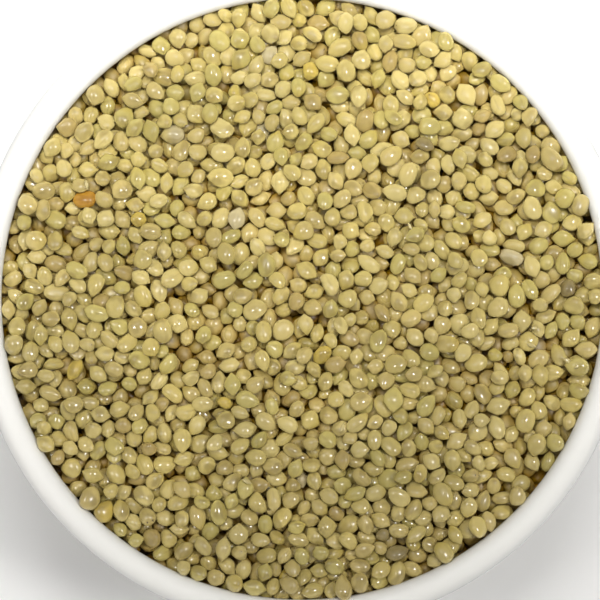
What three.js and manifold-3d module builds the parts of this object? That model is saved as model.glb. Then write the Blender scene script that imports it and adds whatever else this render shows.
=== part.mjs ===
// A small white bowl filled to the rim with millet.
//
// Millimetres, +Z up. The origin is on the surface that the bowl stands on, under its middle.
// The bowl is a thin shell turned round Z: a foot ring, a round belly and a rolled rim that overhangs
// the inside a little. The millet is one solid, as a heap of thousands of grains: it fills the bowl to
// just under the rim's roll, and its top is a low dome with a bump for each grain.

import * as THREE from "three";
import { mergeVertices } from "three/addons/utils/BufferGeometryUtils.js";
import Module from "manifold-3d";

// ---- driving dimensions -------------------------------------------------------------------

const openingRadius = 41.0; // inside the rim's roll: the round field of millet seen from above
const bowlHeight = 42.0; // floor to the top of the rim
const rollRadius = 2.0; // the rim's round section
const wallThickness = 2.8;
const rimOverhang = 1.5; // how far the rim's inner edge stands in front of the wall below it

const footRadius = 22.5;
const footWidth = 3.2; // the flat ring that the bowl stands on
const footHeight = 3.2; // floor to where the belly starts
const footRecess = 2.4; // floor to the underside inside the foot
const footSlope = 1.4; // how far the foot's inner side leans
const bellyStartRadius = 23.5;
const bellyHeight = 31.0; // floor to the widest place
const insideBottom = 6.0; // floor to the lowest place inside
const insideSquareness = 2.5; // 2 is an ellipse, and more fills the corner out
const outsideSquareness = 2.0;

const fillDrop = 2.4; // the rim's top down to the millet at the rim
const domeHeight = 3.4; // the millet's middle above its edge
const fillGap = 0.3; // between the millet and the bowl

const grainLength = 2.9; // a typical grain
const moundHeight = 1.1; // the tallest bump above the dips beside it
const moundSpread = 0.5; // the lowest bump is this share of the tallest
const moundReach = 0.6; // a bump's radius, in grain lengths
const moundSink = 0.6; // how much of a bump's height is below the dome's even surface
const moundNudge = 0.3; // how far a bump is off its place, in grain lengths
const moundGrid = 1.9; // spacing of the points that carry the bumps

const roundSteps = 60; // facets round the axis
const curveSteps = 10; // facets along each long curve of the section
const rollSteps = 11; // facets round the rim's roll
const underRollSteps = 4; // facets of the millet's edge under it

// ---- worked out from them -----------------------------------------------------------------

const insideRadius = openingRadius + rimOverhang; // widest place inside
const bellyRadius = insideRadius + wallThickness; // widest place outside
const rollCentreRadius = openingRadius + rollRadius;
const rollCentreHeight = bowlHeight - rollRadius;
const rollOutsideEnd = -0.2 * Math.PI; // where the roll meets the wall, as angles round its centre
const rollInsideEnd = 1.39 * Math.PI;
const rollBlend = 0.5; // the inside wall starts this far below the roll
const fillEdgeHeight = bowlHeight - fillDrop;

// ---- curves of the sections ---------------------------------------------------------------

const point = (radius, height) => new THREE.Vector2(radius, height);

// From a flat bottom at `from` round to an upright side at `to`, as a quarter of a rounded square.
function cornerCurve(from, to, squareness) {
  const points = [];
  for (let i = 0; i <= curveSteps; i++) {
    const turn = (Math.PI / 2) * (i / curveSteps);
    const across = Math.pow(Math.sin(turn), 2 / squareness);
    const up = 1 - Math.pow(Math.cos(turn), 2 / squareness);
    points.push(point(from.x + (to.x - from.x) * across, from.y + (to.y - from.y) * up));
  }
  return points;
}

// Part of a circle round the middle of the rim's roll.
function roundTheRoll(radius, startAngle, endAngle, steps) {
  const points = [];
  for (let i = 0; i <= steps; i++) {
    const angle = startAngle + (endAngle - startAngle) * (i / steps);
    points.push(
      point(rollCentreRadius + radius * Math.cos(angle), rollCentreHeight + radius * Math.sin(angle)),
    );
  }
  return points;
}

// The bowl's inside from the axis up to its widest place, moved inwards by `inset`.
function insideCurve(inset) {
  const bottom = point(0, insideBottom + inset);
  return cornerCurve(bottom, point(insideRadius - inset, bellyHeight), insideSquareness);
}

// A closed section turned round the axis, and stood up along Z.
function turned(section) {
  return new THREE.LatheGeometry(section, roundSteps).rotateX(Math.PI / 2);
}

// ---- the bowl -----------------------------------------------------------------------------

function bowlSection() {
  const foot = [
    point(0, footRecess),
    point(footRadius - footWidth - footSlope, footRecess),
    point(footRadius - footWidth, 0),
    point(footRadius, 0),
  ];
  const bellyStart = point(bellyStartRadius, footHeight);
  const belly = cornerCurve(bellyStart, point(bellyRadius, bellyHeight), outsideSquareness);
  const roll = roundTheRoll(rollRadius, rollOutsideEnd, rollInsideEnd, rollSteps);
  const underRoll = point(insideRadius, roll[roll.length - 1].y - rollBlend);
  return [...foot, ...belly, ...roll, underRoll, ...insideCurve(0).reverse()];
}

function makeBowl() {
  const glaze = new THREE.MeshStandardMaterial({ color: "#f1f0ec", roughness: 0.15, metalness: 0 });
  const bowl = new THREE.Mesh(turned(bowlSection()), glaze);
  bowl.name = "bowl";
  return bowl;
}

// ---- the millet ---------------------------------------------------------------------------

// A number from 0 to 1 for each bump, which looks random and is the same each time.
function scatter(index, stream) {
  const wave = 1000 * Math.sin(12.9 * index + 78.2 * stream);
  return wave - Math.floor(wave);
}

// Where the grains' bumps are: a sunflower's spiral, which spreads them evenly and never in rows,
// with each one nudged off its place.
function moundPlaces() {
  const areaEach = (Math.PI / 4) * grainLength * grainLength;
  const count = Math.round((Math.PI * insideRadius * insideRadius) / areaEach);
  const goldenAngle = Math.PI * (3 - Math.sqrt(5));
  const places = [];
  for (let i = 0; i < count; i++) {
    const radius = insideRadius * Math.sqrt((i + 0.5) / count);
    const nudge = moundNudge * grainLength;
    places.push({
      x: radius * Math.cos(i * goldenAngle) + nudge * (2 * scatter(i, 1) - 1),
      y: radius * Math.sin(i * goldenAngle) + nudge * (2 * scatter(i, 2) - 1),
      height: moundHeight * (moundSpread + (1 - moundSpread) * scatter(i, 3)),
    });
  }
  return places;
}

// The height of the bumps over one place on the millet's top.
function moundAt(x, y, places) {
  const reach = moundReach * grainLength;
  let height = 0;
  for (const place of places) {
    const away = Math.hypot(x - place.x, y - place.y) / reach;
    if (away < 1) height = Math.max(height, place.height * Math.sqrt(1 - away * away));
  }
  return height;
}

// A block from far below the bowl up to the millet's bumpy, domed top.
function bumpyBlock() {
  const width = 2 * insideRadius + 2 * moundGrid;
  const steps = Math.round(width / moundGrid);
  const block = new THREE.BoxGeometry(width, width, 2 * bowlHeight, steps, steps, 1);
  const position = block.getAttribute("position");
  const places = moundPlaces();
  for (let i = 0; i < position.count; i++) {
    if (position.getZ(i) > 0) {
      const x = position.getX(i);
      const y = position.getY(i);
      const share = Math.min(1, Math.hypot(x, y) / openingRadius);
      const dome = domeHeight * (1 - share * share);
      const mound = moundAt(x, y, places) - moundSink * moundHeight;
      position.setZ(i, fillEdgeHeight + dome + mound);
    }
  }
  return block;
}

// The room that the millet has: the bowl's inside, with a gap to the wall and round under the roll,
// and straight up from the rim.
function roomInside() {
  const keptOff = rollRadius + fillGap;
  const wallMeetsRoll = -Math.acos((insideRadius - fillGap - rollCentreRadius) / keptOff);
  const roundRoll = roundTheRoll(keptOff, wallMeetsRoll, -Math.PI, underRollSteps);
  const above = 2 * bowlHeight;
  const section = [...insideCurve(fillGap), ...roundRoll];
  return turned([...section, point(rollCentreRadius - keptOff, above), point(0, above)]);
}

const wasm = await Module();
wasm.setup();

function toSolid(geometry) {
  geometry.deleteAttribute("normal");
  geometry.deleteAttribute("uv");
  const merged = mergeVertices(geometry, 1e-4);
  return new wasm.Manifold(
    new wasm.Mesh({
      numProp: 3,
      vertProperties: merged.getAttribute("position").array,
      triVerts: new Uint32Array(merged.index.array),
    }),
  );
}

function toGeometry(solid) {
  const mesh = solid.getMesh();
  const geometry = new THREE.BufferGeometry();
  geometry.setAttribute("position", new THREE.BufferAttribute(mesh.vertProperties, 3));
  geometry.setIndex(new THREE.BufferAttribute(mesh.triVerts, 1));
  geometry.computeVertexNormals();
  return geometry;
}

function makeMillet() {
  const heap = toSolid(roomInside()).intersect(toSolid(bumpyBlock()));
  const grain = new THREE.MeshStandardMaterial({ color: "#d3c084", roughness: 0.45, metalness: 0 });
  const millet = new THREE.Mesh(toGeometry(heap), grain);
  millet.name = "millet";
  return millet;
}

// ---- the whole ----------------------------------------------------------------------------

const bowlOfMillet = new THREE.Group();
bowlOfMillet.add(makeBowl(), makeMillet());

export default bowlOfMillet;
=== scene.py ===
# %% [markdown]
# # A small china bowl filled with whole millet
#
# The bowl stands on a pale floor and is seen from straight above, so that its opening is filled from
# edge to edge with grains. This lesson loads the fixed frame of the part, sets the camera and the
# light, makes the bowl, models a few kinds of grain, lets thousands of them settle in the bowl, and
# gives each kind its finish.

# %% Load the frame
import math

import bpy
import numpy as np
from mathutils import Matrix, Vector


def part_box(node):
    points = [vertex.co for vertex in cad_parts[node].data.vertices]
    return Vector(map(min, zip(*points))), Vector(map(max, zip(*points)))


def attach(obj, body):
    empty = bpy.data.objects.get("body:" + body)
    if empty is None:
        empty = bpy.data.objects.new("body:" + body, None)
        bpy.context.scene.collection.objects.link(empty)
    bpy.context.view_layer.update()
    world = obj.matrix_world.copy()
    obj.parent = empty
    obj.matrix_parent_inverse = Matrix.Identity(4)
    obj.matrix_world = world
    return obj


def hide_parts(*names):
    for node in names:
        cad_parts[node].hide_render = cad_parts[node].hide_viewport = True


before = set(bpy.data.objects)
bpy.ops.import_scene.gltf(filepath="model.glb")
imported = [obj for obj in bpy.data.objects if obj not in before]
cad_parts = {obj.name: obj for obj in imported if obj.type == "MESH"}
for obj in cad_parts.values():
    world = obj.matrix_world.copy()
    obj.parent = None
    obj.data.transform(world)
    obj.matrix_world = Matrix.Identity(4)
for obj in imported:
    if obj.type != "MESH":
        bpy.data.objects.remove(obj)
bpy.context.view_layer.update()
bowl_low, bowl_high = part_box("bowl")
millet_low, millet_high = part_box("millet")
print("bowl", tuple(bowl_low), tuple(bowl_high))
print("millet", tuple(millet_low), tuple(millet_high))

# %% [markdown]
# ## The sizes everything is worked out from
#
# The frame gives the bowl's outside and the millet's height. The rest are the thicknesses and curves
# of a thrown bowl. All are metres, and MM turns millimetres into them.

# %% Name the sizes
MM = 0.001
SEED = 7

bowl_radius = bowl_high.x  # at the belly
bowl_height = bowl_high.z
wall_thickness = 2.8 * MM
inside_radius = bowl_radius - wall_thickness
roll_radius = 2.0 * MM  # the rim's round section
rim_overhang = 1.5 * MM  # the rim's inner edge stands this far in front of the wall below it
opening_radius = inside_radius - rim_overhang
roll_centre = (opening_radius + roll_radius, bowl_height - roll_radius)  # radius, height
belly_height = 31.0 * MM  # floor to the widest place
inside_bottom = 6.0 * MM  # floor to the lowest place inside
foot_radius = 22.5 * MM
foot_width = 3.2 * MM
foot_height = 3.2 * MM
foot_recess = 2.4 * MM
foot_slope = 1.4 * MM
belly_start = 23.5 * MM

dome_height = 2.6 * MM  # the heap's middle above its edge
heap_edge = bowl_height - 1.6 * MM  # floor to the tops of the grains at the rim
grain_half = np.array([1.15, 0.96, 1.46]) * MM  # half the width, thickness and length of a usual grain
print("opening", opening_radius, "inside", inside_radius)

# %% [markdown]
# ## Small helpers for working as by hand
#
# An operator acts on all that is selected, and the frame's own nodes come in selected. So each new
# piece starts from an empty selection, and faces and points are then chosen in code by their place.

# %% Helpers for selecting, editing and finishing
def deselect_all():
    if bpy.context.object and bpy.context.object.mode != "OBJECT":
        bpy.ops.object.mode_set(mode="OBJECT")
    bpy.ops.object.select_all(action="DESELECT")


def edit(piece):
    bpy.context.view_layer.objects.active = piece
    bpy.ops.object.mode_set(mode="EDIT")


def pick(piece, chosen, what="VERT"):
    """Selects the points or faces for which chosen(place) is true, and nothing else."""
    bpy.ops.mesh.select_mode(type=what)
    bpy.ops.mesh.select_all(action="DESELECT")
    bpy.ops.object.mode_set(mode="OBJECT")
    if what == "VERT":
        for point in piece.data.vertices:
            point.select = bool(chosen(point.co))
    else:
        for face in piece.data.polygons:
            face.select = bool(chosen(face.center))
    bpy.ops.object.mode_set(mode="EDIT")


def started(name):
    """The primitive that was just added, with its name."""
    piece = bpy.context.object
    piece.name = name
    piece.data.name = name
    return piece


def settle_into_mesh(piece):
    """Puts the object's place, turn and size into its mesh, and applies its modifiers."""
    deselect_all()
    piece.select_set(True)
    bpy.context.view_layer.objects.active = piece
    bpy.ops.object.transform_apply(location=True, rotation=True, scale=True)
    for modifier in list(piece.modifiers):
        bpy.ops.object.modifier_apply(modifier=modifier.name)
    deselect_all()


def triangles(piece):
    return sum(len(face.vertices) - 2 for face in piece.data.polygons)


# %% [markdown]
# ## Camera
#
# The camera looks straight down, as in the photograph, with the photograph's top towards +Y. There
# the bowl's opening is a circle a little wider than the frame, and its middle is a hair right of and
# above the frame's. Only its distance is a choice: far enough that the grains at the rim are seen
# from above too.

# %% Place the camera
FRAME_PIXELS = 600
CIRCLE_MIDDLE = (302.0, 299.0)  # pixels, from the frame's top left corner
CIRCLE_RADIUS = 300.7
SENSOR = 36.0
camera_distance = 0.35  # above the rim's inner edge

metres_per_pixel = opening_radius / CIRCLE_RADIUS
view_half_width = metres_per_pixel * FRAME_PIXELS / 2
camera_data = bpy.data.cameras.new("camera")
camera_data.sensor_width = SENSOR
camera_data.lens = SENSOR / 2 * camera_distance / view_half_width
camera_data.clip_start = 0.01
camera = bpy.data.objects.new("camera", camera_data)
camera.location = (
    (FRAME_PIXELS / 2 - CIRCLE_MIDDLE[0]) * metres_per_pixel,
    (CIRCLE_MIDDLE[1] - FRAME_PIXELS / 2) * metres_per_pixel,
    roll_centre[1] + camera_distance,
)
bpy.context.scene.collection.objects.link(camera)
bpy.context.scene.camera = camera
print("lens", round(camera_data.lens, 1), "mm at", tuple(camera.location))

# %% [markdown]
# ## Light
#
# The shiny grains show one or two small sparkles, so two small lamps hang high up, one to the right
# and a weaker one to the left. The heap is brighter towards the photograph's top, so a large soft
# light hangs on that side. A low lamp in front lights the bowl's wall and hardly reaches the grains,
# and a pale sky fills the rest.

# %% Hang the lamps and the sky
def soft_light(name, place, aim, size, power, spread=180):
    data = bpy.data.lights.new(name, "AREA")
    data.shape = "DISK"
    data.size = size
    data.energy = power
    data.spread = math.radians(spread)
    lamp = bpy.data.objects.new(name, data)
    lamp.location = place
    lamp.visible_camera = False
    lamp.rotation_euler = (Vector(aim) - Vector(place)).to_track_quat("-Z", "Y").to_euler()
    bpy.context.scene.collection.objects.link(lamp)
    return lamp


heap_middle = (0, 0, bowl_height)
RIGHT_PLACE = (0.285, -0.02, 0.58)
window = soft_light("window", (0.0, 0.115, 0.30), (0.01, 0.11, 0.04), size=0.14, power=0.20, spread=64)
window.visible_glossy = False  # the grains show no third sparkle
soft_light("lamp_right", RIGHT_PLACE, heap_middle, size=0.10, power=1.23)
soft_light("lamp_left", (-0.29, -0.01, 0.58), (-0.06, 0, 0.042), size=0.10, power=0.014, spread=20)
low_fill = soft_light("low_fill", (-0.15, -0.60, 0.09), (0, 0, 0.02), size=0.40, power=0.36)
low_fill.visible_glossy = False

world = bpy.data.worlds.new("pale_sky")
world.use_nodes = True
sky = world.node_tree.nodes["Background"]
sky.inputs["Color"].default_value = (1.0, 0.99, 0.97, 1)
sky.inputs["Strength"].default_value = 0.27
bpy.context.scene.world = world
bpy.context.scene.view_settings.view_transform = "Standard"
bpy.context.scene.view_settings.look = "None"

# %% [markdown]
# ## Helpers for finishes
#
# Every finish is a tree of nodes. `Finish` adds nodes and links them in one line each, so that a
# material below reads as a list of what it does.

# %% A short way to write nodes
class Finish:
    """Adds nodes to a tree. A value or a socket may be given for each input."""

    def __init__(self, tree):
        self.tree = tree

    def node(self, kind, inputs=None, **settings):
        made = self.tree.nodes.new(kind)
        for key, value in settings.items():
            setattr(made, key, value)
        for key, value in (inputs or {}).items():
            if isinstance(value, bpy.types.NodeSocket):
                self.tree.links.new(value, made.inputs[key])
            else:
                made.inputs[key].default_value = value
        return made

    def math(self, operation, a, b=0.0, c=0.0, clamp=False):
        made = self.node("ShaderNodeMath", {0: a, 1: b, 2: c}, operation=operation, use_clamp=clamp)
        return made.outputs[0]

    def noise(self, place, scale, detail=2.0, roughness=0.5):
        made = self.node("ShaderNodeTexNoise", {
            "Vector": place, "Scale": scale, "Detail": detail, "Roughness": roughness})
        return made.outputs["Fac"]

    def between(self, value, low, high, to_low=0.0, to_high=1.0):
        """value from low to high, as to_low to to_high, with soft ends."""
        made = self.node("ShaderNodeMapRange", {
            "Value": value, "From Min": low, "From Max": high, "To Min": to_low, "To Max": to_high},
            interpolation_type="SMOOTHSTEP")
        return made.outputs["Result"]

    def mix(self, share, first, second, blend="MIX"):
        made = self.node("ShaderNodeMix", data_type="RGBA", blend_type=blend)
        for key, value in ((0, share), (6, first), (7, second)):
            if isinstance(value, bpy.types.NodeSocket):
                self.tree.links.new(value, made.inputs[key])
            else:
                made.inputs[key].default_value = value
        return made.outputs[2]

    def attribute(self, name):
        return self.node("ShaderNodeAttribute", attribute_name=name)

    def bump(self, height, distance, strength=1.0):
        made = self.node("ShaderNodeBump", {
            "Height": height, "Distance": distance, "Strength": strength})
        return made.outputs["Normal"]


def new_material(name):
    """A material with its Principled shader, and a Finish to add nodes to it."""
    material = bpy.data.materials.new(name)
    material.use_nodes = True
    shader = material.node_tree.nodes["Principled BSDF"]
    return material, shader, Finish(material.node_tree)


def rgb(red, green, blue):
    """A colour as a painter's 0 to 255 numbers, made linear."""
    def linear(value):
        share = value / 255
        return share / 12.92 if share <= 0.04045 else ((share + 0.055) / 1.055) ** 2.4
    return (linear(red), linear(green), linear(blue), 1.0)


# %% [markdown]
# ## Floor
#
# A plain pale table top, wide enough to reach the horizon in low views. It only holds the bowl's
# shadow, so its finish is a faint unevenness in tone and gloss.

# %% Lay the floor
floor_material, floor_shader, floor_finish = new_material("pale_table")
floor_place = floor_finish.node("ShaderNodeTexCoord").outputs["Object"]
floor_cloud = floor_finish.noise(floor_place, 9.0, 3.0)
floor_tone = floor_finish.mix(floor_cloud, rgb(246, 245, 243), rgb(250, 249, 247))
floor_finish.tree.links.new(floor_tone, floor_shader.inputs["Base Color"])
floor_shader.inputs["Roughness"].default_value = 0.75
floor_shader.inputs["Specular IOR Level"].default_value = 0.2

deselect_all()
bpy.ops.mesh.primitive_plane_add(size=12.0, location=(0, 0, 0))
floor = started("floor")
floor.data.materials.append(floor_material)

# %% [markdown]
# ## The bowl's finish
#
# The bowl is white china under a clear glaze. A glaze is never quite even: it is a little thicker and
# greyer where it pools above the foot, thinner and warmer over the rim, and its gloss ripples. The
# ring that stood on the kiln shelf is bare, matt and cream coloured. One group of nodes gives the
# glaze's tone, gloss and ripple from the place on the bowl.

# %% White glaze and bare foot
china, china_shader, finish = new_material("white_glaze")
place = finish.node("ShaderNodeTexCoord").outputs["Object"]
height = finish.node("ShaderNodeSeparateXYZ", {"Vector": place}).outputs["Z"]
ripple = finish.noise(place, 160.0, 3.0)
cloud = finish.noise(place, 38.0, 2.0)
pooled = finish.between(height, foot_height + 5 * MM, foot_height, 0.0, 1.0)
over_rim = finish.between(height, bowl_height - 1.2 * MM, bowl_height, 0.0, 0.6)
tone = finish.mix(cloud, rgb(238, 238, 234), rgb(243, 242, 238))
tone = finish.mix(pooled, tone, rgb(222, 225, 222))
tone = finish.mix(over_rim, tone, rgb(244, 241, 234))
wobble = finish.math("MULTIPLY", ripple, 0.6 * MM)
bare_height = finish.math("SUBTRACT", height, wobble)
bare = finish.between(bare_height, 0.9 * MM, 0.6 * MM)
speckle = finish.noise(place, 1800.0, 2.0)
clay = finish.mix(speckle, rgb(214, 205, 190), rgb(228, 220, 207))
tone = finish.mix(bare, tone, clay)
gloss = finish.between(ripple, 0.3, 0.7, 0.10, 0.17)
gloss = finish.math("ADD", gloss, finish.math("MULTIPLY", bare, 0.6))
relief = finish.math("ADD", ripple, finish.math("MULTIPLY", finish.math("MULTIPLY", bare, speckle), 0.5))
finish.tree.links.new(tone, china_shader.inputs["Base Color"])
finish.tree.links.new(gloss, china_shader.inputs["Roughness"])
finish.tree.links.new(finish.bump(relief, 0.12 * MM, 0.5), china_shader.inputs["Normal"])
china_shader.inputs["IOR"].default_value = 1.52

# %% [markdown]
# ## The bowl
#
# A potter turns a bowl from one section, and so does this cell: a single point is extruded along the
# section, from the middle of the underside, round the foot, up the belly, over the rolled rim and
# down the inside, and the line is spun round the bowl's axis. Stacking rings of faces would give the
# same shape with far more steps. One level of subdivision smooths the curves.

# %% The bowl's section
def corner_curve(start, end, squareness, steps):
    """From a flat bottom at start round to an upright side at end, as a quarter of a rounded square."""
    points = []
    for step in range(steps + 1):
        turn = math.pi / 2 * step / steps
        across = math.sin(turn) ** (2 / squareness)
        up = 1 - max(0.0, math.cos(turn)) ** (2 / squareness)
        points.append((start[0] + (end[0] - start[0]) * across, start[1] + (end[1] - start[1]) * up))
    return points


def round_the_roll(start, end, steps):
    """Round the rim's section, between two angles."""
    angles = [start + (end - start) * step / steps for step in range(steps + 1)]
    return [(roll_centre[0] + roll_radius * math.cos(angle),
             roll_centre[1] + roll_radius * math.sin(angle)) for angle in angles]


def bowl_section():
    foot_inside = foot_radius - foot_width
    soft = 0.35 * MM  # how round the foot's corners are
    points = [(0.0, foot_recess), ((foot_inside - foot_slope) * 0.6, foot_recess)]
    points += [(foot_inside - foot_slope - soft, foot_recess)]
    points += [(foot_inside - foot_slope + soft, foot_recess - soft)]
    points += [(foot_inside - soft, soft), (foot_inside + soft, 0.0)]
    points += [(foot_radius - foot_width / 2, 0.0)]
    points += [(foot_radius - 2 * soft, 0.0), (foot_radius, 1.5 * soft)]
    points += [(foot_radius + 0.2 * MM, foot_height - 2 * soft)]
    points += corner_curve((belly_start, foot_height), (bowl_radius, belly_height), 2.0, 22)
    rim = round_the_roll(-0.2 * math.pi, 1.39 * math.pi, 18)
    under_rim = (inside_radius, rim[-1][1] - 0.5 * MM)
    inside = corner_curve((0.0, inside_bottom), (inside_radius, belly_height), 2.5, 20)
    return points + rim + [under_rim] + inside[::-1]


# %% Turn the bowl
BOWL_STEPS = 72


def turn_on_wheel(name, section, steps):
    """A point extruded along the section, and the line spun round the Z axis."""
    deselect_all()
    bpy.ops.mesh.primitive_plane_add(size=MM, location=(0, 0, 0))
    piece = started(name)
    edit(piece)
    bpy.ops.mesh.merge(type="CENTER")
    bpy.ops.mesh.select_mode(type="VERT")
    bpy.ops.mesh.select_all(action="SELECT")
    bpy.ops.transform.translate(value=(section[0][0], 0, section[0][1]))
    for here, there in zip(section, section[1:]):
        step = (there[0] - here[0], 0, there[1] - here[1])
        bpy.ops.mesh.extrude_vertices_move(TRANSFORM_OT_translate={"value": step})
    bpy.ops.mesh.select_all(action="SELECT")
    bpy.ops.mesh.spin(steps=steps, angle=2 * math.pi, center=(0, 0, 0), axis=(0, 0, 1))
    bpy.ops.mesh.select_all(action="SELECT")
    bpy.ops.mesh.remove_doubles(threshold=0.01 * MM)
    bpy.ops.mesh.normals_make_consistent(inside=False)
    bpy.ops.mesh.faces_shade_smooth()
    bpy.ops.object.mode_set(mode="OBJECT")
    return piece


section = bowl_section()
bowl = turn_on_wheel("china_bowl", section, BOWL_STEPS)
smoother = bowl.modifiers.new("smoother", "SUBSURF")
smoother.levels = 1
smoother.render_levels = 1
bowl.data.materials.append(china)
settle_into_mesh(bowl)
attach(bowl, "root")
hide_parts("bowl")
print("bowl", len(section), "points in the section,", triangles(bowl), "triangles")

# %% [markdown]
# ## Grain shapes
#
# A whole millet grain is a little egg in a smooth hull: about 3 mm long, a bit flattened, with a small
# point where it sat on the stalk and often another at the far end. No two are alike, but they come in
# a few sorts, so each sort is modelled once and later copied at many sizes. A sphere with few faces is
# the start, because thousands are needed. Its poles lie along the grain and are drawn out into points
# with proportional editing, which pulls the near points along.

# %% Model one grain of each sort
GRAIN_SIDES = 12
GRAIN_RINGS = 8


def new_grain(name):
    deselect_all()
    bpy.ops.mesh.primitive_uv_sphere_add(segments=GRAIN_SIDES, ring_count=GRAIN_RINGS, radius=1.0)
    grain = started(name)
    edit(grain)
    return grain


def pull(grain, chosen, step, reach, falloff="SMOOTH"):
    """Moves the chosen points, and less so all within reach of them."""
    pick(grain, chosen)
    bpy.ops.transform.translate(
        value=step, use_proportional_edit=True, proportional_edit_falloff=falloff, proportional_size=reach)


def stretch(grain, chosen, amount, reach):
    pick(grain, chosen)
    bpy.ops.transform.resize(
        value=amount, use_proportional_edit=True, proportional_edit_falloff="SMOOTH", proportional_size=reach)


def at_top(co):
    return co.z > 0.99


def at_bottom(co):
    return co.z < -0.99


def finished_grain(grain):
    """Back to a unit shape: half its width, thickness and length are all 1."""
    bpy.ops.object.mode_set(mode="OBJECT")
    points = np.array([point.co for point in grain.data.vertices])
    low, high = points.min(0), points.max(0)
    points = (points - (low + high) / 2) / ((high - low) / 2)
    faces = [list(face.vertices) for face in grain.data.polygons]
    uv = np.array([corner.uv for corner in grain.data.uv_layers[0].data])
    name = grain.name
    bpy.data.objects.remove(grain)
    return {"name": name, "points": points, "faces": faces, "uv": uv}


def pointed_both_ends():
    grain = new_grain("lemon")
    pull(grain, at_top, (0, 0, 0.42), 0.8, "SHARP")
    pull(grain, at_bottom, (0, 0, -0.34), 0.75, "SHARP")
    return finished_grain(grain)


def pointed_one_end():
    grain = new_grain("drop")
    pull(grain, at_top, (0.04, 0, 0.30), 0.85, "SHARP")
    stretch(grain, lambda co: -0.5 < co.z < -0.3, (1.05, 1.05, 1.0), 0.7)
    return finished_grain(grain)


def nearly_round():
    grain = new_grain("plump")
    pull(grain, at_top, (0, 0, 0.14), 0.6, "SHARP")
    pull(grain, lambda co: co.y < -0.9 and abs(co.z) < 0.2, (0, 0.10, 0), 0.9)
    return finished_grain(grain)


def flat_sided():
    grain = new_grain("flat_sided")
    pull(grain, at_top, (0.08, 0, 0.30), 0.8, "SHARP")
    pull(grain, at_bottom, (-0.06, 0, -0.12), 0.6, "SHARP")
    pull(grain, lambda co: co.x > 0.85 and abs(co.z) < 0.5, (-0.22, 0, 0), 0.9)
    pull(grain, lambda co: co.y > 0.85 and co.z > 0.2, (0, -0.14, 0), 0.7)
    return finished_grain(grain)


def dented():
    grain = new_grain("dented")
    pull(grain, at_top, (0, 0, 0.22), 0.7, "SHARP")
    pull(grain, lambda co: co.y > 0.9 and abs(co.z) < 0.3, (0, -0.26, 0), 0.75)
    pull(grain, lambda co: co.x < -0.8 and co.z < -0.4, (0.16, 0, 0), 0.6)
    return finished_grain(grain)


def four_cornered():
    grain = new_grain("four_cornered")
    for side in (-1, 1):
        pull(grain, lambda co: co.x * side > 0.85 and abs(co.z) < 0.4, (-0.17 * side, 0, 0), 0.8)
        pull(grain, lambda co: co.z * side > 0.9, (0, 0, -0.10 * side), 0.8)
    return finished_grain(grain)


def three_cornered():
    grain = new_grain("three_cornered")
    pull(grain, at_top, (0, 0, 0.22), 0.7, "SHARP")
    for angle in (90, 210, 330):
        way = Vector((math.cos(math.radians(angle)), math.sin(math.radians(angle)), 0))
        pull(grain, lambda co: co.dot(way) > 0.86, tuple(-0.24 * way), 0.85)
    return finished_grain(grain)


def ridged():
    grain = new_grain("ridged")
    stretch(grain, lambda co: abs(co.y) < 0.1 and abs(co.z) < 0.6, (1.12, 1.0, 1.0), 0.35)
    pull(grain, at_top, (0.05, 0, 0.24), 0.7, "SHARP")
    pull(grain, at_bottom, (0.05, 0, -0.14), 0.6, "SHARP")
    return finished_grain(grain)


def notched():
    grain = new_grain("notched")
    pull(grain, lambda co: co.z > 0.75 and co.x > 0.2, (0, 0, 0.12), 0.5)
    pull(grain, lambda co: co.z > 0.75 and co.x < -0.2, (-0.05, 0, 0.08), 0.5)
    pull(grain, at_top, (0, 0, -0.16), 0.3)
    return finished_grain(grain)


grain_shapes = [pointed_both_ends(), pointed_one_end(), nearly_round(), flat_sided(), dented(),
                four_cornered(), three_cornered(), ridged(), notched()]
shape_shares = np.array([0.34, 0.20, 0.15, 0.08, 0.07, 0.03, 0.05, 0.05, 0.03])
print([(shape["name"], len(shape["faces"])) for shape in grain_shapes])

# %% [markdown]
# ## Settling the grains
#
# Grains poured in a bowl come to rest touching their neighbours, mostly on their flat sides, with some
# on end and here and there a deep gap. Blender's rigid bodies could drop them, but thousands take
# minutes. This cell does the same with arrays: each grain is an egg-shaped ellipsoid that drifts down,
# and wherever two overlap, or one meets the wall, the rim or the bed below, they are pushed apart
# and turned by the push. A few hundred small steps bring them to rest. Units here are millimetres.

# %% Turns as quaternions, and pairs of near grains
rng = np.random.default_rng(SEED)


def turn_matrices(turns):
    w, x, y, z = turns.T
    rows = [
        [1 - 2 * (y * y + z * z), 2 * (x * y - w * z), 2 * (x * z + w * y)],
        [2 * (x * y + w * z), 1 - 2 * (x * x + z * z), 2 * (y * z - w * x)],
        [2 * (x * z - w * y), 2 * (y * z + w * x), 1 - 2 * (x * x + y * y)],
    ]
    return np.stack([np.stack(row, -1) for row in rows], 1)


def turned(turns, by):
    """Each quaternion, turned on by a small rotation vector."""
    x1, y1, z1 = by.T / 2
    w2, x2, y2, z2 = turns.T
    made = np.stack([
        w2 - x1 * x2 - y1 * y2 - z1 * z2,
        x2 + x1 * w2 + y1 * z2 - z1 * y2,
        y2 - x1 * z2 + y1 * w2 + z1 * x2,
        z2 + x1 * y2 - y1 * x2 + z1 * w2], 1)
    return made / np.linalg.norm(made, axis=1, keepdims=True)


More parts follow.
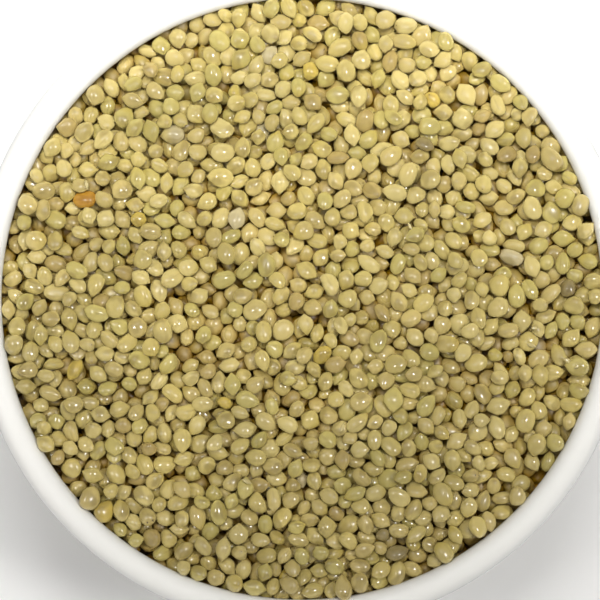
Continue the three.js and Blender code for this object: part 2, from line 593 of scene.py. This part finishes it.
def near_pairs(places, reach):
    """Every two grains whose middles are nearer than reach, found by sorting them into cubes."""
    cell = np.floor((places - places.min(0)) / reach).astype(np.int64) + 1
    size = cell.max(0) + 2
    key = (cell[:, 0] * size[1] + cell[:, 1]) * size[2] + cell[:, 2]
    order = np.argsort(key, kind="stable")
    in_order = key[order]
    found = []
    for dx in (0, 1):
        for dy in (-1, 0, 1):
            for dz in (-1, 0, 1):
                if (dx, dy, dz) < (0, 0, 0):
                    continue
                other = key + (dx * size[1] + dy) * size[2] + dz
                first = np.searchsorted(in_order, other, "left")
                count = np.searchsorted(in_order, other, "right") - first
                one = np.repeat(np.arange(len(places)), count)
                start = np.repeat(first - np.cumsum(count) + count, count)
                two = order[start + np.arange(len(one))]
                if (dx, dy, dz) == (0, 0, 0):
                    one, two = one[one < two], two[one < two]
                found.append(np.stack([one, two]))
    one, two = np.concatenate(found, 1)
    near = ((places[one] - places[two]) ** 2).sum(1) < reach * reach
    return one[near], two[near]


# %% Push overlapping grains apart
TURN_EASE = 5 / (2 * 1.2 ** 2)  # how easily a grain of about 1.2 mm radius turns, against moving


def stretch_matrices(turns, half):
    """For each ellipsoid, the matrix that gives its half width in any direction."""
    turn = turn_matrices(turns)
    return np.einsum("nij,nj,nkj->nik", turn, half ** 2, turn)


def part_grains(places, turns, half, one, two):
    """One round of pushes. The direction in which two ellipsoids overlap least is found in three tries."""
    forms = stretch_matrices(turns, half)
    apart = places[two] - places[one]
    way = apart / np.maximum(np.linalg.norm(apart, axis=1), 1e-9)[:, None]
    for attempt in range(3):
        form_one = np.einsum("nij,nj->ni", forms[one], way)
        form_two = np.einsum("nij,nj->ni", forms[two], way)
        reach_one = form_one / np.sqrt((form_one * way).sum(1))[:, None]
        reach_two = form_two / np.sqrt((form_two * way).sum(1))[:, None]
        between = apart - reach_one - reach_two
        gap = (between * way).sum(1)
        if attempt < 2:
            way = way + 0.55 * (between - gap[:, None] * way)
            way /= np.linalg.norm(way, axis=1, keepdims=True)
    hit = gap < 0
    one, two, way, depth = one[hit], two[hit], way[hit], -gap[hit]
    lever_one, lever_two = np.cross(reach_one[hit], way), np.cross(-reach_two[hit], way)
    give = 2 + TURN_EASE * ((lever_one ** 2).sum(1) + (lever_two ** 2).sum(1))
    push = depth / give
    count = len(places)
    moves, twists = np.zeros((count, 3)), np.zeros((count, 3))
    for axis in range(3):
        moves[:, axis] = (np.bincount(two, push * way[:, axis], count)
                          - np.bincount(one, push * way[:, axis], count))
        twists[:, axis] = TURN_EASE * (np.bincount(two, push * lever_two[:, axis], count)
                                       - np.bincount(one, push * lever_one[:, axis], count))
    touches = np.bincount(one, minlength=count) + np.bincount(two, minlength=count)
    ease = 1.6 / np.maximum(1, touches)[:, None] ** 0.75
    return places + moves * ease, turned(turns, np.clip(twists * ease, -0.2, 0.2)), depth


# %% Keep the grains inside the bowl and on their bed
def dome_over(x, y):
    share = np.minimum(1, np.hypot(x, y) * MM / opening_radius)
    return dome_height / MM * (1 - share ** 2)


def bed_height(x, y, layers_deep):
    """The uneven bed that the lowest grains lie on."""
    waves = np.sin(1.9 * x + 0.7 * y) + np.sin(1.7 * y - 0.9 * x + 1.0)
    return heap_edge / MM - layers_deep + dome_over(x, y) + 0.25 * waves


def half_along(forms, way):
    return np.sqrt(np.einsum("ni,nij,nj->n", way, forms, way))


def keep_in_bowl(places, forms, layers_deep):
    around = np.hypot(places[:, 0], places[:, 1])
    out = places / np.maximum(around, 1e-9)[:, None]
    out[:, 2] = 0
    past = np.maximum(0, around + half_along(forms, out) - inside_radius / MM)
    places = places - out * past[:, None]
    ring = out * roll_centre[0] / MM
    ring[:, 2] = roll_centre[1] / MM
    off = places - ring
    away = np.linalg.norm(off, axis=1)
    off /= away[:, None]
    past = np.maximum(0, roll_radius / MM + half_along(forms, off) - away)
    places = places + off * past[:, None]
    bed = bed_height(places[:, 0], places[:, 1], layers_deep)
    places[:, 2] = np.maximum(places[:, 2], bed + np.sqrt(forms[:, 2, 2]))
    return places


# %% Pour and settle
HEAP_DEPTH = 6.2  # of real grains, above the core
HEAP_FILL = 0.60  # the share of that room that grains take
SLIDE = 0.3  # how much of the dome's slope the grains feel
SETTLE_STEPS = 280
LEVEL_STEPS = [int(SETTLE_STEPS * share) for share in (0.40, 0.52, 0.64, 0.76)]
LEVEL_GRID = 0.7  # between the places that are looked at for hollows
LEVEL_REACH = 1.6
LEVEL_ROUND = 2.4  # twice a grain's radius: how its top falls off sideways
NOTHING_NEAR = -9.0
FILLED = 99.0
TOO_HIGH = 0.55  # over the dome
TOO_LOW = -1.7


def pour():
    """Loose grains above the bed, each with its own size and turn."""
    room = math.pi * (inside_radius / MM) ** 2 * HEAP_DEPTH
    count = int(room * HEAP_FILL / (4 / 3 * math.pi * np.prod(grain_half / MM)))
    whole = rng.normal(1, 0.075, count)
    half = grain_half / MM * whole[:, None] * rng.normal(1, [0.07, 0.06, 0.06], (count, 3))
    half = np.clip(half, [0.82, 0.7, 1.1], [1.42, 1.2, 1.75])
    around = (inside_radius / MM - 1.2) * rng.random(count) ** 0.49
    angle = 2 * math.pi * rng.random(count)
    x, y = around * np.cos(angle), around * np.sin(angle)
    z = bed_height(x, y, HEAP_DEPTH) + 1.0 + rng.random(count) * HEAP_DEPTH * 1.5
    turns = rng.normal(size=(count, 4))
    return np.stack([x, y, z], 1), turns / np.linalg.norm(turns, axis=1, keepdims=True), half


def tops_over_dome(places, turns, half):
    tops = places[:, 2] + half_along(stretch_matrices(turns, half), np.array([[0, 0, 1.0]]))
    return tops - dome_over(places[:, 0], places[:, 1]) - heap_edge / MM


def level(places, turns, half):
    """Brushes high grains off into the deepest hollow, until the next place in line is filled."""
    over = tops_over_dome(places, turns, half)
    side = np.arange(-inside_radius / MM, inside_radius / MM, LEVEL_GRID)
    x, y = [axis.ravel() for axis in np.meshgrid(side, side)]
    inside = np.hypot(x, y) < opening_radius / MM - 0.4
    x, y = x[inside], y[inside]
    highest = np.full(len(x), NOTHING_NEAR)
    for grain in np.flatnonzero(over > -4):
        off = (x - places[grain, 0]) ** 2 + (y - places[grain, 1]) ** 2
        near = off < LEVEL_REACH ** 2
        highest[near] = np.maximum(highest[near], over[grain] - off[near] / LEVEL_ROUND)
    brushed = [grain for grain in np.argsort(-over) if over[grain] > TOO_HIGH]
    for spot in np.argsort(highest, kind="stable"):
        if not brushed or highest[spot] > TOO_LOW:
            break
        grain = brushed.pop(0)
        places[grain] = x[spot], y[spot], heap_edge / MM + dome_over(x[spot], y[spot]) - 0.2
        highest[np.hypot(x - x[spot], y - y[spot]) < 2.2] = FILLED
    return places


def settle(places, turns, half):
    reach = 2.04 * half.max()
    slope = SLIDE * 2 * dome_height / MM / (opening_radius / MM) ** 2
    for step in range(SETTLE_STEPS):
        shake = max(0.0, 1 - step / (0.8 * SETTLE_STEPS))
        if step in LEVEL_STEPS:
            places = level(places, turns, half)
        if step % 3 == 0 or step in LEVEL_STEPS:
            one, two = near_pairs(places, reach)
        down = -np.stack([slope * places[:, 0], slope * places[:, 1], np.ones(len(places))], 1)
        down /= np.linalg.norm(down, axis=1, keepdims=True)
        places = places + down * 0.03 * (0.35 + shake) + rng.normal(size=places.shape) * 0.035 * shake
        turns = turned(turns, rng.normal(size=places.shape) * 0.05 * shake)
        for half_step in range(2):
            places, turns, depth = part_grains(places, turns, half, one, two)
            places = keep_in_bowl(places, stretch_matrices(turns, half), HEAP_DEPTH)
    return places, turns, depth


grain_places, grain_turns, grain_halves = pour()
grain_places, grain_turns, overlap = settle(grain_places, grain_turns, grain_halves)
over_edge = tops_over_dome(grain_places, grain_turns, grain_halves)
print(len(grain_places), "grains, mean overlap", overlap.mean().round(3), "mm")
around = np.hypot(grain_places[:, 0], grain_places[:, 1])
for low, high in ((0, 15), (15, 30), (30, 36), (36, 43)):  # rings, in millimetres
    ring_tops = over_edge[(around >= low) & (around < high)]
    print("ring", low, high, "tops over the dome", np.percentile(ring_tops, [50, 90, 99, 100]).round(2))

# %% [markdown]
# ## The millet's finish
#
# A hull is smooth and a little shiny, pale straw with a green, beige or golden cast, often darker at
# the stalk end, with a faint seam where its two halves meet and faint lines along it. Each grain
# carries what the finish needs: its own place from -1 to 1 along its width, thickness and length, and
# its own random numbers. One group of nodes turns these into colour, gloss and relief, and each kind
# of grain gives it its own two colours.

# %% The group of nodes that all hulls share
def make_hull_group():
    tree = bpy.data.node_groups.new("hull", "ShaderNodeTree")
    for name in ("Light", "Dark"):
        tree.interface.new_socket(name, in_out="INPUT", socket_type="NodeSocketColor")
    for name in ("Patches", "Stalk Mark"):
        tree.interface.new_socket(name, in_out="INPUT", socket_type="NodeSocketFloat")
    tree.interface.new_socket("Color", in_out="OUTPUT", socket_type="NodeSocketColor")
    for name in ("Roughness", "Relief"):
        tree.interface.new_socket(name, in_out="OUTPUT", socket_type="NodeSocketFloat")
    finish = Finish(tree)
    given = finish.node("NodeGroupInput").outputs
    own = finish.attribute("own_place").outputs["Vector"]
    luck = finish.node("ShaderNodeSeparateXYZ", {"Vector": finish.attribute("luck").outputs["Vector"]})
    luck_one, luck_two, luck_three = luck.outputs
    axis = finish.node("ShaderNodeSeparateXYZ", {"Vector": own})
    width, thickness, length = axis.outputs

    all_luck = finish.attribute("luck").outputs["Vector"]
    shift = finish.node("ShaderNodeVectorMath", {0: all_luck, "Scale": 37.0}, operation="SCALE").outputs[0]
    spot = finish.node("ShaderNodeVectorMath", {0: own, 1: shift}, operation="ADD").outputs[0]
    cloud = finish.noise(spot, 1.1, 2.0)
    fine = finish.noise(spot, 5.0, 3.0, 0.6)

    # Each grain has its own tone, with clouds over it.
    tone = finish.math("ADD", luck_one, finish.between(cloud, 0.3, 0.7, -0.30, 0.30), clamp=True)
    colour = finish.mix(tone, given["Dark"], given["Light"])

    # Parts of the heap are lighter or darker than others by up to about a tenth.
    area = finish.noise(finish.node("ShaderNodeTexCoord").outputs["Object"], 85.0, 1.0)
    area = finish.between(area, 0.32, 0.68, 0.87, 1.07)
    area = finish.node("ShaderNodeCombineColor", {"Red": area, "Green": area, "Blue": area}).outputs[0]
    colour = finish.mix(1.0, colour, area, "MULTIPLY")

    # A yellow or green patch towards one end of some grains.
    patch_end = finish.between(length, -0.1, 0.75)
    patch_luck = finish.between(luck_two, 0.78, 0.92)
    patch = finish.math("MULTIPLY", finish.math("MULTIPLY", patch_end, patch_luck), given["Patches"])
    colour = finish.mix(finish.math("MULTIPLY", patch, 0.55), colour, rgb(184, 164, 78))

    # The stalk end is a little browner, and on some grains it bears a small dark mark.
    stalk = finish.between(length, 0.72, 1.0)
    colour = finish.mix(finish.math("MULTIPLY", stalk, 0.35), colour, rgb(150, 120, 62))
    mark_luck = finish.between(luck_three, 0.55, 0.7)
    mark = finish.math("MULTIPLY", finish.between(length, 0.955, 0.985), mark_luck)
    colour = finish.mix(finish.math("MULTIPLY", mark, given["Stalk Mark"]), colour, rgb(70, 52, 26))

    # The seam between the hull's halves is a thin groove, and faint lines run along the hull.
    seam = finish.between(finish.math("ABSOLUTE", thickness), 0.16, 0.05)
    side = finish.between(finish.math("ABSOLUTE", width), 0.5, 0.9)
    seam = finish.math("MULTIPLY", seam, side)
    colour = finish.mix(finish.math("MULTIPLY", seam, 0.12), colour, rgb(120, 98, 50))
    speck = finish.between(fine, 0.62, 0.78, 0.0, 0.28)
    colour = finish.mix(speck, colour, rgb(160, 132, 80))

    # Painted shade: what lies deep in a gap is coloured darker and browner, standing in for the dim light
    # that other grains have coloured.
    depth = finish.attribute("depth").outputs["Fac"]
    # Painted shade: darker, browner colour with depth below the heap's top.
    painted_gap_shade = finish.between(depth, 0.9, 3.8)
    colour = finish.mix(painted_gap_shade, colour, finish.mix(1.0, colour, rgb(188, 154, 14), "MULTIPLY"))

    # Some grains keep a broad darker patch where the hull is thin over the kernel.
    thin = finish.between(finish.noise(shift, 0.9, 0.0), 0.42, 0.60)
    thin = finish.math("MULTIPLY", thin, finish.between(finish.noise(spot, 0.75, 0.0), 0.48, 0.66))
    colour = finish.mix(finish.math("MULTIPLY", thin, 0.5), colour, rgb(142, 122, 62))

    # About a quarter of the hulls are dull, and so is what lies deep. The rest shine. These are steps
    # and no ramps, because a render's cleaning leaves wrinkles where gloss crosses about 0.27.
    dull = finish.math("MULTIPLY", finish.math("GREATER_THAN", luck_three, 0.75), 0.10)
    dusty = finish.math("MULTIPLY", finish.math("GREATER_THAN", depth, 1.9), 0.32)
    dull = finish.math("MAXIMUM", dull, dusty)
    gloss = finish.math("ADD", dull, finish.between(fine, 0.3, 0.7, 0.18, 0.20))
    groove = finish.math("MULTIPLY", seam, 0.3)
    relief = finish.math("SUBTRACT", finish.math("MULTIPLY", fine, 0.04), groove)
    relief = finish.math("ADD", relief, finish.math("MULTIPLY", cloud, 0.5))
    result = finish.node("NodeGroupOutput").inputs
    for name, socket in (("Color", colour), ("Roughness", gloss), ("Relief", relief)):
        tree.links.new(socket, result[name])
    return tree


hull_group = make_hull_group()


def hull_material(name, light, dark, patches=1.0, stalk_mark=1.0, relief=0.03 * MM):
    """The finish of one kind of grain."""
    material, shader, finish = new_material(name)
    group = finish.tree.nodes.new("ShaderNodeGroup")
    group.node_tree = hull_group
    group.inputs["Light"].default_value = light
    group.inputs["Dark"].default_value = dark
    group.inputs["Patches"].default_value = patches
    group.inputs["Stalk Mark"].default_value = stalk_mark
    finish.tree.links.new(group.outputs["Color"], shader.inputs["Base Color"])
    finish.tree.links.new(group.outputs["Roughness"], shader.inputs["Roughness"])
    finish.tree.links.new(finish.bump(group.outputs["Relief"], relief), shader.inputs["Normal"])
    shader.inputs["Diffuse Roughness"].default_value = 1.0
    shader.inputs["Specular IOR Level"].default_value = 1.0
    shader.inputs["IOR"].default_value = 1.6
    return material


# %% [markdown]
# ## Kinds of grain
#
# Most grains are straw, cream, beige or olive. A few are tan, golden, grey or chalky, and one whole
# grain is orange brown. Each kind is one piece with one finish. The grains that stand out in the
# photograph are named with their pixel there, and the nearest grain that shows from above takes
# that kind.

# %% Share the grains out
KINDS = {
    "straw": (0.27, rgb(200, 182, 110), rgb(186, 168, 100)),
    "cream": (0.28, rgb(205, 188, 121), rgb(195, 177, 111)),
    "beige": (0.22, rgb(199, 180, 113), rgb(185, 166, 102)),
    "olive": (0.18, rgb(193, 178, 105), rgb(180, 165, 94)),
    "tan": (0.03, rgb(182, 161, 98), rgb(167, 145, 86)),
    "golden": (0.007, rgb(202, 178, 88), rgb(188, 165, 78)),
    "chalky": (0.003, rgb(199, 186, 143), rgb(187, 173, 129)),
    "grey": (0.001, rgb(152, 136, 90), rgb(130, 114, 70)),
    "orange": (0.0, rgb(180, 133, 46), rgb(154, 108, 30)),
}
kind_names = list(KINDS)
kind_shares = np.array([KINDS[name][0] for name in kind_names])
kind_of = rng.choice(len(kind_names), len(grain_places), p=kind_shares / kind_shares.sum())
shape_of = rng.choice(len(grain_shapes), len(grain_places), p=shape_shares)

# %% Give the grains that stand out their kinds
ODD_GRAINS = [  # the kind, and the photograph's pixel
    ("orange", (85, 206)), ("golden", (76, 376)), ("golden", (106, 513)), ("golden", (434, 98)),
    ("tan", (49, 268)), ("tan", (123, 264)), ("tan", (155, 58)), ("tan", (372, 188)),
    ("grey", (420, 148)), ("grey", (387, 535)), ("grey", (393, 553)),
    ("chalky", (270, 46)), ("chalky", (244, 211)), ("chalky", (502, 260)),
]


def under_pixel(pixel):
    """Where a pixel of the photograph falls on the heap, in millimetres."""
    x, y = pixel
    return (x - CIRCLE_MIDDLE[0]) * metres_per_pixel / MM, (CIRCLE_MIDDLE[1] - y) * metres_per_pixel / MM


shows = over_edge > -0.8
for kind, pixel in ODD_GRAINS:
    spot = under_pixel(pixel)
    far = np.hypot(grain_places[:, 0] - spot[0], grain_places[:, 1] - spot[1])
    grain = np.argmin(np.where(shows, far, 99.0))
    kind_of[grain] = kind_names.index(kind)
    shows[grain] = False
    if kind == "orange":
        shape_of[grain] = [shape["name"] for shape in grain_shapes].index("four_cornered")
print([(name, int((kind_of == index).sum())) for index, name in enumerate(kind_names)])

# %% [markdown]
# ## Grains as meshes
#
# Every grain of a kind is joined in one mesh, made from arrays: the sort's points are scaled to the
# grain's size, turned and moved to its place. The grain's own place and random numbers are kept on
# the points, and a map gives each grain its own square, so that a texture can be baked on it.

# %% Build one piece for each kind
FLAT_FROM = 0.68  # where a flat place starts, as a share of the half width
FLATTEN = 0.5
SWELL = 1.07  # drawn grains are this much larger than their ellipsoids, so they overlap a little


def own_form(points, luck):
    """A grain's own bend, taper and two flat places, so that no two of a sort are alike."""
    bend, taper, turn, lean = 2 * luck - 1
    form = points.copy()
    form[:, 0] += 0.10 * bend * (points[:, 2] ** 2 - 0.4)
    form[:, :2] *= 1 + 0.10 * taper * points[:, 2:]
    for angle, up in ((math.pi * turn, 0.5 * lean), (math.pi * turn + 2.2, -0.4 * lean)):
        way = np.array([math.cos(angle), math.sin(angle), up])
        way /= np.linalg.norm(way)
        past = np.maximum(0, form @ way - FLAT_FROM)
        form -= FLATTEN * past[:, None] * way
    return form


def joined_mesh(name, points, faces, uv):
    """Many small things as one mesh with a map. The points come in millimetres."""
    mesh = bpy.data.meshes.new(name)
    mesh.from_pydata((np.concatenate(points) * MM).tolist(), [], faces)
    mesh.shade_smooth()
    layer = mesh.uv_layers.new(name="OFBake")
    layer.data.foreach_set("uv", np.concatenate(uv).astype(np.float32).ravel())
    return mesh


def grain_mesh(name, chosen):
    """One mesh with all the chosen grains."""
    across = math.ceil(math.sqrt(len(chosen)))  # squares along the map's side
    turn = turn_matrices(grain_turns)
    points, faces, own, luck, depth, uv = [], [], [], [], [], []
    start = 0
    for index, grain in enumerate(chosen):
        shape = grain_shapes[shape_of[grain]]
        form = own_form(shape["points"], grain_form_luck[grain]) * SWELL
        placed = grain_places[grain] + (form * grain_halves[grain]) @ turn[grain].T
        points.append(placed)
        depth.append(heap_edge / MM + dome_over(placed[:, 0], placed[:, 1]) - placed[:, 2])
        faces.extend([[corner + start for corner in face] for face in shape["faces"]])
        own.append(shape["points"])
        luck.append(np.tile(grain_luck[grain], (len(shape["points"]), 1)))
        square = np.array([index % across, index // across])
        uv.append((square + 0.04 + 0.92 * shape["uv"]) / across)
        start += len(shape["points"])
    mesh = joined_mesh(name, points, faces, uv)
    for key, values in (("own_place", own), ("luck", luck)):
        layer = mesh.attributes.new(key, "FLOAT_VECTOR", "POINT")
        layer.data.foreach_set("vector", np.concatenate(values).astype(np.float32).ravel())
    layer = mesh.attributes.new("depth", "FLOAT", "POINT")
    layer.data.foreach_set("value", np.concatenate(depth).astype(np.float32))
    return mesh


def add_piece(name, mesh, material):
    piece = bpy.data.objects.new(name, mesh)
    bpy.context.scene.collection.objects.link(piece)
    mesh.materials.append(material)
    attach(piece, "root")
    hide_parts("millet")
    print(name, triangles(piece), "triangles")
    return piece


grain_luck = rng.random((len(grain_places), 3))
grain_form_luck = rng.random((len(grain_places), 4))
for index, kind in enumerate(kind_names):
    share, light, dark = KINDS[kind]
    material = hull_material("hull_" + kind, light, dark)
    add_piece("grains_" + kind, grain_mesh("grains_" + kind, np.flatnonzero(kind_of == index)), material)

# %% [markdown]
# ## Bits of hull
#
# Here and there a bit of a split hull lies on the grains. It is a thin curved sliver, pointed at both
# ends: part of a sphere, cut by deleting the rest of its faces, made uneven, and given a thickness
# with a solidify modifier.

# %% Model one bit of hull and lay copies on the heap
FLAKE_THICKNESS = 0.06  # of its half length
AROUND_A_BIT = ((0, 0), (0.5, 0), (-0.5, 0), (0, 0.5), (0, -0.5))  # where the surface is felt, in mm
FLAKE_HALF = (0.35, 0.6, 0.9)  # half sizes of the sphere it is cut from, in millimetres
SHINING_FLAKES = [(534, 328), (577, 365), (566, 360)]  # pixels where a bit catches the right lamp
PALE_FLAKES = [(88, 186), (342, 427), (530, 345), (409, 227), (248, 480)]


def outside_the_sliver(place):
    """True for all but a lens-shaped strip on the sphere's +X side, a little aslant."""
    return place.x < 0.2 or abs(place.y + 0.2 * place.z) > 0.5 - 0.55 * place.z ** 2


def bit_of_hull():
    flake = new_grain("flake")
    bpy.ops.mesh.select_all(action="SELECT")
    bpy.ops.mesh.subdivide(number_cuts=1, smoothness=1.0)
    pick(flake, outside_the_sliver, "FACE")
    bpy.ops.mesh.delete(type="FACE")
    bpy.ops.mesh.select_all(action="SELECT")
    bpy.ops.transform.vertex_random(offset=0.05, uniform=0.5, seed=SEED)
    bpy.ops.object.mode_set(mode="OBJECT")
    shell = flake.modifiers.new("shell", "SOLIDIFY")
    shell.thickness = FLAKE_THICKNESS
    deselect_all()
    flake.select_set(True)
    bpy.context.view_layer.objects.active = flake
    bpy.ops.object.modifier_apply(modifier="shell")
    points = np.array([point.co for point in flake.data.vertices])
    middle = np.array([(points[:, 0].min() + 0.75 * (points[:, 0].max() - points[:, 0].min())), 0, 0.1])
    faces = [list(face.vertices) for face in flake.data.polygons]
    uv = np.array([corner.uv for corner in flake.data.uv_layers[0].data])
    bpy.data.objects.remove(flake)
    return {"name": "flake", "points": points - middle, "faces": faces, "uv": uv}


def surface_over(x, y):
    """The height of the settled grains' surface at a place, in millimetres."""
    near = np.flatnonzero(np.hypot(grain_places[:, 0] - x, grain_places[:, 1] - y) < 1.7)
    form = np.linalg.inv(stretch_matrices(grain_turns[near], grain_halves[near]))
    off = np.array([x, y]) - grain_places[near, :2]
    lean = (form[:, 0, 2] * off[:, 0] + form[:, 1, 2] * off[:, 1]) / form[:, 2, 2]
    flat = np.einsum("ni,nij,nj->n", off, form[:, :2, :2], off)
    inside = lean ** 2 - (flat - 1) / form[:, 2, 2]
    tops = grain_places[near, 2] - lean + np.sqrt(np.maximum(inside, 0))
    return tops[inside > 0].max()


def lie(normal, spin):
    """Three axes for a flake: its bulge along normal, its length turned by spin."""
    normal = Vector(normal).normalized()
    length = Vector((math.cos(spin), math.sin(spin), 0))
    length = (length - normal * length.dot(normal)).normalized()
    return np.array([normal, length.cross(normal), length]).T


flake_shape = bit_of_hull()
to_lamp = (Vector(RIGHT_PLACE) - Vector(heap_middle)).normalized()
catches_lamp = to_lamp + Vector((0, 0, 1))
flake_points, flake_faces, flake_uv = [], [], []
for index, pixel in enumerate(SHINING_FLAKES + PALE_FLAKES):
    x, y = under_pixel(pixel)
    tilt = rng.normal(0, 0.25, 2)
    normal = catches_lamp if pixel in SHINING_FLAKES else (tilt[0], tilt[1], 1)
    axes = lie(normal, rng.random() * 2 * math.pi)
    size = np.array(FLAKE_HALF) * rng.normal(0.9, 0.1)
    points = (flake_shape["points"] * size) @ axes.T
    height = max(surface_over(x + dx, y + dy) for dx, dy in AROUND_A_BIT)
    start = sum(len(made) for made in flake_points)
    flake_points.append(points + np.array([x, y, height + 0.05]))
    flake_faces += [[corner + start for corner in face] for face in flake_shape["faces"]]
    flake_uv.append((np.array([index % 4, index // 4]) + 0.04 + 0.92 * flake_shape["uv"]) / 4)
flake_mesh = joined_mesh("hull_bits", flake_points, flake_faces, flake_uv)

bits, bits_shader, finish = new_material("split_hull")
place = finish.node("ShaderNodeTexCoord").outputs["Object"]
streaks = finish.noise(place, 900.0, 3.0, 0.6)
tone = finish.mix(streaks, rgb(180, 162, 104), rgb(200, 186, 134))
finish.tree.links.new(tone, bits_shader.inputs["Base Color"])
finish.tree.links.new(finish.between(streaks, 0.3, 0.7, 0.12, 0.24), bits_shader.inputs["Roughness"])
bits_shader.inputs["Specular IOR Level"].default_value = 0.7
add_piece("hull_bits", flake_mesh, bits)

# %% [markdown]
# ## The core
#
# Below the real grains the heap is one solid that fills the bowl, so that no gap shows the china. Its
# top has the relief of grains too. Its colour is grain colour in the middle of each small cell, with
# painted shade, deep brown, towards the cell's edges, where the gaps between grains would be.

# %% Fill the bowl below the grains
core_gap = 0.3 * MM
core_top = heap_edge - (HEAP_DEPTH - 0.6) * MM
CORE_RELIEF = 1.3 * MM
CORE_STEPS = 160  # round the axis
core_radius = inside_radius - core_gap
core_section = corner_curve((0.0, inside_bottom + core_gap), (core_radius, belly_height), 2.5, 16)
core_section += [(core_radius, core_top)]
CORE_RINGS = 44
for ring in range(1, CORE_RINGS + 1):
    around = core_radius * (1 - ring / CORE_RINGS)
    core_section.append((around, core_top + dome_over(around / MM, 0) * MM))
core = turn_on_wheel("millet_core", core_section, CORE_STEPS)
top = core.vertex_groups.new(name="top")
on_top = [point.index for point in core.data.vertices if point.co.z > core_top + 0.05 * MM]
top.add(on_top, 1.0, "REPLACE")
grain_bumps = bpy.data.textures.new("grain_bumps", "VORONOI")
grain_bumps.noise_scale = 3.0 * MM
relief = core.modifiers.new("relief", "DISPLACE")
relief.texture = grain_bumps
relief.texture_coords = "LOCAL"
relief.direction = "Z"
relief.vertex_group = "top"
relief.mid_level = 0.0
relief.strength = -CORE_RELIEF
core_material, core_shader, finish = new_material("deep_millet")
place = finish.node("ShaderNodeTexCoord").outputs["Object"]
cells = finish.node("ShaderNodeTexVoronoi", {"Vector": place, "Scale": 420.0}, feature="F1")
# Painted shade: the colour darkens to deep brown towards each cell's edge, as shade between grains.
painted_cell_edge_shade = finish.between(cells.outputs["Distance"], 0.2, 0.7)
core_tone_and_painted_shade = finish.mix(painted_cell_edge_shade, rgb(170, 146, 84), rgb(60, 42, 18))
finish.tree.links.new(core_tone_and_painted_shade, core_shader.inputs["Base Color"])
finish.tree.links.new(finish.bump(cells.outputs["Distance"], 0.6 * MM), core_shader.inputs["Normal"])
core_shader.inputs["Roughness"].default_value = 0.6
core.data.materials.append(core_material)
settle_into_mesh(core)
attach(core, "root")
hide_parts("millet")
print("core", triangles(core), "triangles")
